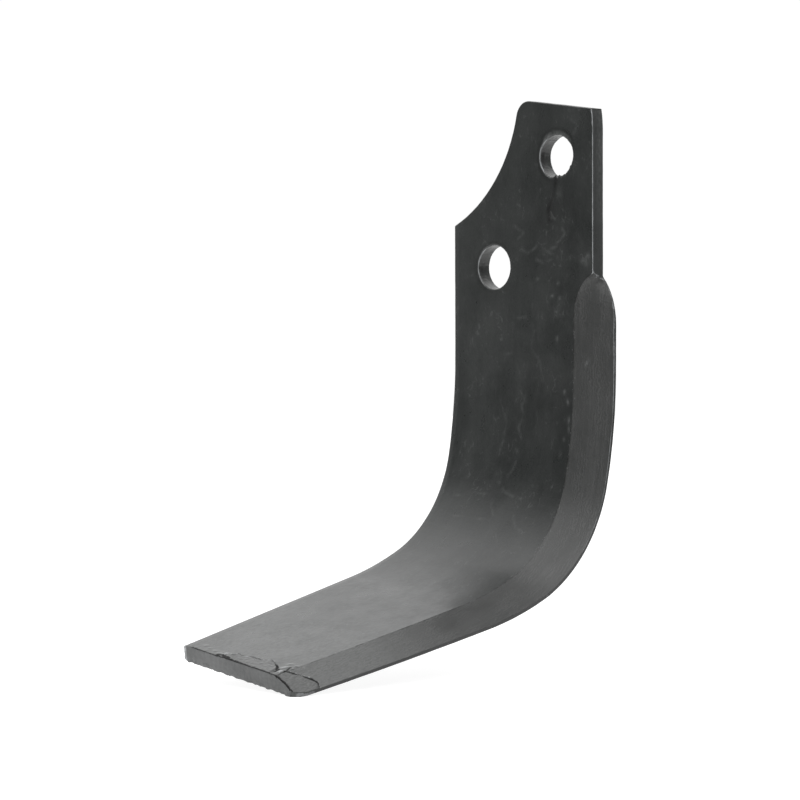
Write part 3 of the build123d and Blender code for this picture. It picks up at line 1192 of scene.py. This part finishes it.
class NodeBench:
    """Builds shader nodes in one tree and joins them."""

    def __init__(self, tree: bpy.types.NodeTree) -> None:
        """Empty the tree and start in it."""
        self.tree = tree
        self.tree.nodes.clear()

    def node(self, kind: str, **settings: object) -> bpy.types.Node:
        """Return a new node with some of its settings changed.

        Args:
            kind: The node's type.
            settings: Its settings, by name.

        Returns:
            The node.
        """
        made = self.tree.nodes.new(kind)
        for name, value in settings.items():
            setattr(made, name, value)
        return made

    def feed(self, node: bpy.types.Node, name: str | int, value: object) -> None:
        """Join a socket to an input, or set the input to a constant.

        Args:
            node: The node that is fed.
            name: Its input, by name or place.
            value: The socket or constant.
        """
        if isinstance(value, bpy.types.NodeSocket):
            self.tree.links.new(value, node.inputs[name])
        else:
            node.inputs[name].default_value = value

    def attribute(self, name: str, output: str) -> Socket:
        """Return an output of a mesh attribute, by name."""
        node = self.node("ShaderNodeAttribute", attribute_name=name)
        return node.outputs[output]

    def math(self, operation: str, first: object, second: object = 0.0, clamp: bool = False) -> Socket:
        """Return the result of a sum on two values.

        Args:
            operation: The kind of sum.
            first: The first value.
            second: The second value.
            clamp: Whether the result is kept from 0 to 1.

        Returns:
            The result.
        """
        node = self.node("ShaderNodeMath", operation=operation, use_clamp=clamp)
        self.feed(node, 0, first)
        self.feed(node, 1, second)
        return node.outputs[0]

    def span(self, value: Socket, low: float, high: float, start: float = 0.0, end: float = 1.0) -> Socket:
        """Return a value carried smoothly from one range to another, and kept in it.

        Args:
            value: The value.
            low: Where the first range starts.
            high: Where it ends.
            start: What its start becomes.
            end: What its end becomes.

        Returns:
            The carried value.
        """
        node = self.node("ShaderNodeMapRange", interpolation_type="SMOOTHSTEP")
        self.feed(node, "Value", value)
        self.feed(node, "From Min", low)
        self.feed(node, "From Max", high)
        self.feed(node, "To Min", start)
        self.feed(node, "To Max", end)
        return node.outputs[0]

    def stretch(self, place: Socket, sizes: Triple, shift: float = 0.0) -> Socket:
        """Return a place divided by a grain size on each axis.

        Args:
            place: The place.
            sizes: The grain's size on each axis.
            shift: How far the pattern is moved.

        Returns:
            The divided place.
        """
        node = self.node("ShaderNodeMapping", vector_type="POINT")
        self.feed(node, "Vector", place)
        self.feed(node, "Scale", tuple(1.0 / size for size in sizes))
        self.feed(node, "Location", (shift, shift * 0.7, shift * 1.3))
        return node.outputs[0]

    def cloud(self, place: Socket, grain: Grain) -> Socket:
        """Return the noise of a grain.

        Args:
            place: The place.
            grain: The grain.

        Returns:
            The noise, from 0 to 1.
        """
        node = self.node("ShaderNodeTexNoise")
        self.feed(node, "Vector", self.stretch(place, grain.sizes, grain.shift))
        self.feed(node, "Scale", 1.0)
        self.feed(node, "Detail", grain.detail)
        self.feed(node, "Roughness", grain.rough)
        self.feed(node, "Distortion", grain.twist)
        return node.outputs["Fac"]

    def blend(self, share: object, first: object, second: object) -> Socket:
        """Return a mix of two colours.

        Args:
            share: The second colour's share.
            first: The first colour.
            second: The second colour.

        Returns:
            The mixed colour.
        """
        node = self.node("ShaderNodeMix", data_type="RGBA", blend_type="MIX")
        self.feed(node, 0, share)
        self.feed(node, 6, first)
        self.feed(node, 7, second)
        return node.outputs[2]

    def bump(self, height: Socket, depth: float) -> Socket:
        """Return normals bent by a height map whose full height is a depth in metres.

        Args:
            height: The height map, from 0 to 1.
            depth: Its full height, in metres.

        Returns:
            The bent normals.
        """
        node = self.node("ShaderNodeBump")
        self.feed(node, "Strength", 1.0)
        self.feed(node, "Distance", depth)
        self.feed(node, "Height", height)
        return node.outputs[0]


@dataclass(frozen=True)
class BlackPaint:
    """Semi-gloss black paint, as it lies on one kind of metal surface, with painted highlights and painted
    shade in its colour.

    A span or fade holds where a range starts and ends, and then, where it isn't 0 to 1, what it becomes.
    """

    name: str
    dark: Colour
    light: Colour
    gloss: Pair
    grain: float
    streaks: float
    swirls: float
    ripples: float
    # Lighter marks take the dust colour, which also paints highlights; darker ones the soot colour, which
    # also paints shade; the edges take worn paint with a painted highlight, and the cracks a black painted
    # shade.
    dust_and_highlight: Colour = (0.125, 0.130, 0.128, 1.0)
    soot_and_shade: Colour = (0.006, 0.006, 0.006, 1.0)
    worn_and_highlight: Colour = (0.34, 0.35, 0.36, 1.0)
    crack_shade_colour: Colour = (0.002, 0.002, 0.002, 1.0)
    relief: float = 0.03 * MM
    ripple_sizes: Triple = (1.0, 1.0, 1.3)
    ripple_scale: float = 0.34
    ripple_waver: float = 9.0
    ripple_detail: Pair = (2.0, 1.8)
    clouds: Grain = Grain((13.0, 6.0, 24.0), 1.0, detail=4.0, rough=0.6)
    long_streaks: Grain = Grain((1.0, 4.0, 30.0), 5.0)
    patches: Grain = Grain((8.0, 8.0, 10.0), 9.0, detail=2.0)
    flecks: Grain = Grain((0.8, 0.8, 1.4), 17.0, detail=2.0)
    edge_breaks: Grain = Grain((1.2, 1.2, 3.4), 19.0, rough=0.65)
    shine_mottle: Grain = Grain((1.8, 1.8, 2.6), 33.0)
    orange_peel: Grain = Grain((0.9, 0.9, 1.1), 3.0, detail=2.0)
    pits: Grain = Grain((0.35, 0.35, 0.5), 7.0, detail=2.0, rough=0.6)
    curl_lines: Grain = Grain((3.8, 3.4, 6.0), 13.0, detail=2.5, rough=0.6, twist=0.6)
    curl_breaks: Grain = Grain((1.6, 1.6, 2.4), 15.0, detail=2.0)
    ripple_patches: Grain = Grain((4.0, 4.0, 9.0), 23.0)
    border_breaks: Grain = Grain((1.5, 1.5, 3.0), 27.0, detail=2.0)
    border_flecks: Grain = Grain((0.5, 0.5, 0.9), 29.0, detail=1.0)
    side_fade: Span = (-30.0, 26.0, 0.3, -0.3)
    height_fade: Span = (-60.0, 30.0, -0.15, 0.25)
    cloud_span: Span = (0.25, 0.75)
    streak_span: Span = (0.3, 0.7)
    fleck_span: Span = (0.3, 0.6, 0.35, 1.0)
    edge_break_span: Span = (0.32, 0.58, 0.42, 1.0)
    edge_light_span: Span = (0.35, 0.95)
    crack_shade_span: Span = (0.08, 0.6)
    shine_span: Span = (0.3, 0.7)
    curl_width: Span = (0.0, 0.03, 1.0, 0.0)
    curl_break_span: Span = (0.45, 0.62)
    curl_patch_span: Span = (0.46, 0.6)
    ripple_span: Span = (0.42, 0.56, 0.15, 1.0)
    border_line: Span = (0.1, 0.55, 0.55, 0.0)
    border_break_span: Span = (0.38, 0.6)
    border_fleck_reach: Span = (0.2, 1.3, 0.6, 0.0)
    border_fleck_span: Span = (0.64, 0.74)

    def make(self) -> bpy.types.Material:
        """Return the paint's material."""
        material = bpy.data.materials.new(self.name)
        material.use_nodes = True
        bench = NodeBench(material.node_tree)
        place = bench.attribute("flat_place", "Vector")
        cloudy = bench.span(bench.cloud(place, self.clouds), *self.cloud_span)
        streaky = bench.span(bench.cloud(place, self.long_streaks), *self.streak_span)
        patchy = bench.cloud(place, self.patches)
        tone = bench.math("MULTIPLY", cloudy, 1.0 - self.streaks)
        tone = bench.math("ADD", tone, bench.math("MULTIPLY", streaky, self.streaks))
        ripples = self.die_ripples(bench, place)
        rippled = bench.math("MULTIPLY", bench.math("SUBTRACT", ripples, 0.5), self.ripples)
        tone = bench.math("ADD", tone, rippled)
        parts = bench.node("ShaderNodeSeparateXYZ")
        bench.feed(parts, 0, place)
        tone = bench.math("ADD", tone, bench.span(parts.outputs["X"], *self.side_fade))
        tone = bench.math("ADD", tone, bench.span(parts.outputs["Z"], *self.height_fade))
        colour = bench.blend(bench.math("ADD", tone, 0.0, clamp=True), self.dark, self.light)
        # The marks hold painted light and shade as well as real marks: lighter ones mix towards the dust
        # colour, darker ones towards the soot colour.
        marks = bench.attribute("marks", "Fac")
        flecked = bench.span(bench.cloud(place, self.flecks), *self.fleck_span)
        curls = self.curls(bench, place, patchy)
        rubbed_and_highlit = bench.math("MULTIPLY", marks, flecked, clamp=True)
        rubbed_and_highlit = bench.math("ADD", rubbed_and_highlit, bench.math("MULTIPLY", curls, self.swirls), clamp=True)
        colour = bench.blend(bench.math("MULTIPLY", marks, -1.0, clamp=True), colour, self.soot_and_shade)
        colour = bench.blend(rubbed_and_highlit, colour, self.dust_and_highlight)
        colour = self.dress_border(bench, place, colour)
        # The edges' painted highlight, partly worn paint, broken up by noise.
        edge_broken = bench.cloud(place, self.edge_breaks)
        edge_light = bench.span(edge_broken, *self.edge_break_span)
        edge_light = bench.math("MULTIPLY", bench.span(bench.attribute("edge_wear_and_highlight", "Fac"), *self.edge_light_span), edge_light)
        colour = bench.blend(edge_light, colour, self.worn_and_highlight)
        # Painted shade in the cracks.
        crack = bench.span(bench.attribute("crack_shade", "Fac"), *self.crack_shade_span)
        colour = bench.blend(crack, colour, self.crack_shade_colour)
        mottle = bench.cloud(place, self.shine_mottle)
        shine = bench.math("ADD", bench.math("MULTIPLY", patchy, 0.6), bench.math("MULTIPLY", mottle, 0.4))
        rough = bench.span(shine, *self.shine_span, *self.gloss)
        rough = bench.math("ADD", rough, bench.math("MULTIPLY", crack, 0.5), clamp=True)
        peel = bench.cloud(place, self.orange_peel)
        pits = bench.cloud(place, self.pits)
        height = bench.math("ADD", peel, bench.math("MULTIPLY", pits, self.grain))
        height = bench.math("ADD", height, bench.math("MULTIPLY", ripples, self.ripples))
        height = bench.math("ADD", height, bench.math("MULTIPLY", rubbed_and_highlit, 0.5))
        shader = bench.node("ShaderNodeBsdfPrincipled")
        bench.feed(shader, "Base Color", colour)
        bench.feed(shader, "Roughness", rough)
        bench.feed(shader, "Normal", bench.bump(height, self.relief))
        output = bench.node("ShaderNodeOutputMaterial")
        bench.feed(output, "Surface", shader.outputs[0])
        return material

    def curls(self, bench: NodeBench, place: Socket, patchy: Socket) -> Socket:
        """Return thin curling rub marks, in patches.

        Args:
            bench: Where the nodes are made.
            place: The flat place.
            patchy: The noise that says where the patches lie.

        Returns:
            The strength, from 0 to 1.
        """
        swirl = bench.cloud(place, self.curl_lines)
        off = bench.math("ABSOLUTE", bench.math("SUBTRACT", swirl, 0.5))
        line = bench.span(off, *self.curl_width)
        broken = bench.span(bench.cloud(place, self.curl_breaks), *self.curl_break_span)
        where = bench.span(patchy, *self.curl_patch_span)
        return bench.math("MULTIPLY", bench.math("MULTIPLY", line, broken), where)

    def die_ripples(self, bench: NodeBench, place: Socket) -> Socket:
        """Return fine wavering ripples that run down the blade, in patches, from 0 to 1.

        Args:
            bench: Where the nodes are made.
            place: The flat place.

        Returns:
            The height of the ripples.
        """
        wave = bench.node("ShaderNodeTexWave", wave_type="BANDS", bands_direction="X", wave_profile="SIN")
        bench.feed(wave, "Vector", bench.stretch(place, self.ripple_sizes))
        bench.feed(wave, "Scale", self.ripple_scale)
        bench.feed(wave, "Distortion", self.ripple_waver)
        bench.feed(wave, "Detail", self.ripple_detail[0])
        bench.feed(wave, "Detail Scale", self.ripple_detail[1])
        where = bench.span(bench.cloud(place, self.ripple_patches), *self.ripple_span)
        waver = bench.math("MULTIPLY", bench.math("SUBTRACT", wave.outputs["Fac"], 0.5), where)
        return bench.math("ADD", waver, 0.5)

    def dress_border(self, bench: NodeBench, place: Socket, colour: Socket) -> Socket:
        """Return the colour with the dark line and the light flecks along the border of the bevel.

        Args:
            bench: Where the nodes are made.
            place: The flat place.
            colour: The colour so far.

        Returns:
            The dressed colour.
        """
        gap = bench.math("ABSOLUTE", bench.attribute("past_border", "Fac"))
        broken = bench.span(bench.cloud(place, self.border_breaks), *self.border_break_span)
        line = bench.math("MULTIPLY", bench.span(gap, *self.border_line), broken)
        colour = bench.blend(line, colour, self.soot_and_shade)
        fleck = bench.span(bench.cloud(place, self.border_flecks), *self.border_fleck_span)
        fleck = bench.math("MULTIPLY", fleck, bench.span(gap, *self.border_fleck_reach))
        return bench.blend(fleck, colour, self.dust_and_highlight)


@dataclass(frozen=True)
class Softbox:
    """A soft rectangular light."""

    name: str
    place: Triple
    size: Pair
    watts: float

    def hang(self, target: Vector) -> None:
        """Hang the light and point it at a target.

        Args:
            target: What it points at.
        """
        place = Vector(self.place)
        light = bpy.data.lights.new(self.name, "AREA")
        light.shape = "RECTANGLE"
        light.size, light.size_y = self.size
        light.energy = self.watts
        box = bpy.data.objects.new(self.name, light)
        box.location = place
        box.rotation_mode = "QUATERNION"
        box.rotation_quaternion = (target - place).to_track_quat("-Z", "Y")
        bpy.context.scene.collection.objects.link(box)


@dataclass(frozen=True)
class Studio:
    """The pale studio: a white wall and floor, a broad top light, and a darker side towards the camera.

    The side to the right of the camera glows faintly. The light's strength is given by heading, and the
    rises and spreads say between which heights or nearness to a heading each light comes in.
    """

    floor_size: float = 1.25
    floor_behind: float = 0.95
    wall_heading: Triple = (-0.7256, 0.6870, 0.0)
    wall_foot: float = 0.35
    wall_top: float = 1.35
    front: float = 0.11
    overhead: float = 1.25
    zenith: float = 2.1
    glow_heading: Triple = (0.687, 0.7256, 0.0)
    glow: float = 0.34
    seen_white: float = 1.02
    floor_grey: Colour = (0.25, 0.25, 0.25, 1.0)
    floor_rough: float = 0.9
    floor_glow: float = 0.9
    wall_rise: Pair = (0.07, 0.25)
    wall_spread: Pair = (0.0, 0.42)
    overhead_rise: Pair = (0.38, 0.81)
    zenith_rise: Pair = (0.71, 0.86)
    glow_spread: Pair = (0.3, 0.9)
    softboxes: tuple[Softbox, ...] = (
        Softbox("front_softbox", (0.9, -1.5, 0.5), (1.0, 1.4), 9.0),
        Softbox("high_softbox", (-0.16, -1.25, 0.95), (0.8, 0.7), 1.7),
    )

    def make_floor(self, lowest: float) -> bpy.types.Object:
        """Return the floor, just under the lowest point of the blade.

        Args:
            lowest: Height of the lowest point.

        Returns:
            The floor.
        """
        mesh = bmesh.new()
        bmesh.ops.create_circle(mesh, cap_ends=True, segments=96, radius=self.floor_size)
        middle = Vector(self.wall_heading) * self.floor_behind
        middle.z = lowest
        bmesh.ops.translate(mesh, verts=mesh.verts, vec=middle)
        data = bpy.data.meshes.new("studio_floor")
        mesh.to_mesh(data)
        mesh.free()
        floor = bpy.data.objects.new("studio_floor", data)
        bpy.context.scene.collection.objects.link(floor)
        material = bpy.data.materials.new("white_floor")
        material.use_nodes = True
        shader = material.node_tree.nodes["Principled BSDF"]
        shader.inputs["Base Color"].default_value = self.floor_grey
        shader.inputs["Roughness"].default_value = self.floor_rough
        shader.inputs["Emission Color"].default_value = (1.0, 1.0, 1.0, 1.0)
        shader.inputs["Emission Strength"].default_value = self.floor_glow
        data.materials.append(material)
        return floor

    def make_world(self) -> None:
        """Light the scene from all round, as a white studio does."""
        world = bpy.data.worlds.new("studio")
        world.use_nodes = True
        bpy.context.scene.world = world
        bench = NodeBench(world.node_tree)
        heading = bench.node("ShaderNodeTexCoord").outputs["Generated"]
        toward = bench.node("ShaderNodeVectorMath", operation="DOT_PRODUCT")
        bench.feed(toward, 0, heading)
        bench.feed(toward, 1, self.wall_heading)
        parts = bench.node("ShaderNodeSeparateXYZ")
        bench.feed(parts, 0, heading)
        wall_light = bench.span(parts.outputs["Z"], *self.wall_rise, self.wall_foot, self.wall_top)
        facing = bench.span(toward.outputs["Value"], *self.wall_spread)
        wall = bench.math("MAXIMUM", bench.math("MULTIPLY", wall_light, facing), self.front)
        top = bench.span(parts.outputs["Z"], *self.overhead_rise, 0.0, self.overhead)
        peak = bench.span(parts.outputs["Z"], *self.zenith_rise, 0.0, self.zenith)
        beside = bench.node("ShaderNodeVectorMath", operation="DOT_PRODUCT")
        bench.feed(beside, 0, heading)
        bench.feed(beside, 1, self.glow_heading)
        glow = bench.span(beside.outputs["Value"], *self.glow_spread, 0.0, self.glow)
        light = bench.math("MAXIMUM", bench.math("MAXIMUM", wall, top), bench.math("MAXIMUM", peak, glow))
        seen = bench.node("ShaderNodeLightPath").outputs["Is Camera Ray"]
        strength = bench.math("MAXIMUM", light, bench.math("MULTIPLY", seen, self.seen_white))
        background = bench.node("ShaderNodeBackground")
        bench.feed(background, "Color", (1.0, 1.0, 1.0, 1.0))
        bench.feed(background, "Strength", strength)
        output = bench.node("ShaderNodeOutputWorld")
        bench.feed(output, "Surface", background.outputs[0])


@dataclass(frozen=True)
class PhotoCamera:
    """The camera of the photograph: far off, a little above the middle of the blade, long lens."""

    place: Triple = (0.67471, -0.69985, -0.031553)
    right: Triple = (0.68784, 0.72586, -0.00314)
    up: Triple = (-0.01944, 0.02274, 0.99955)
    forward: Triple = (-0.72561, 0.68747, -0.02975)
    lens: float = 135.0
    sensor: float = 36.0

    def make(self) -> None:
        """Put the camera in the scene and make it the one that is used."""
        data = bpy.data.cameras.new("photo_camera")
        data.lens = self.lens
        data.sensor_width = self.sensor
        data.dof.use_dof = False
        camera = bpy.data.objects.new("photo_camera", data)
        back = -Vector(self.forward)
        turn = Matrix((self.right, self.up, back)).transposed()
        camera.matrix_world = Matrix.Translation(self.place) @ turn.to_4x4()
        bpy.context.scene.collection.objects.link(camera)
        bpy.context.scene.camera = camera


def main() -> None:
    """Build the blade, its finishes, the studio and the camera."""
    logging.basicConfig(level=logging.INFO, format="%(name)s: %(message)s")
    PhotoCamera().make()
    blade = TillerBlade().make()
    rolled = BlackPaint(
        name="rolled_paint",
        dark=(0.0180, 0.0200, 0.0193, 1.0),
        light=(0.0330, 0.0355, 0.0345, 1.0),
        gloss=(0.27, 0.37),
        grain=0.3,
        streaks=0.12,
        swirls=0.26,
        ripples=0.0,
    )
    bevel = BlackPaint(
        name="bevel_paint",
        dark=(0.0420, 0.0432, 0.0425, 1.0),
        light=(0.0680, 0.0690, 0.0680, 1.0),
        gloss=(0.34, 0.46),
        grain=0.9,
        streaks=0.40,
        swirls=0.08,
        ripples=0.9,
    )
    sheared = BlackPaint(
        name="sheared_paint",
        dark=(0.068, 0.070, 0.070, 1.0),
        light=(0.125, 0.128, 0.128, 1.0),
        gloss=(0.42, 0.55),
        grain=1.5,
        streaks=0.35,
        swirls=0.1,
        ripples=0.0,
    )
    for paint in (rolled, bevel, sheared):
        blade.data.materials.append(paint.make())
    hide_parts("tiller_blade")
    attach(blade, "root")
    LOG.info("painted blade: %d faces", len(blade.data.polygons))
    studio = Studio()
    floor = studio.make_floor(CAD_BOX[0].z)
    studio.make_world()
    middle = (CAD_BOX[0] + CAD_BOX[1]) / 2
    for softbox in studio.softboxes:
        softbox.hang(middle)
    bpy.context.scene.view_settings.view_transform = "Standard"
    LOG.info("studio and camera are in place")


if __name__ == "__main__":
    main()
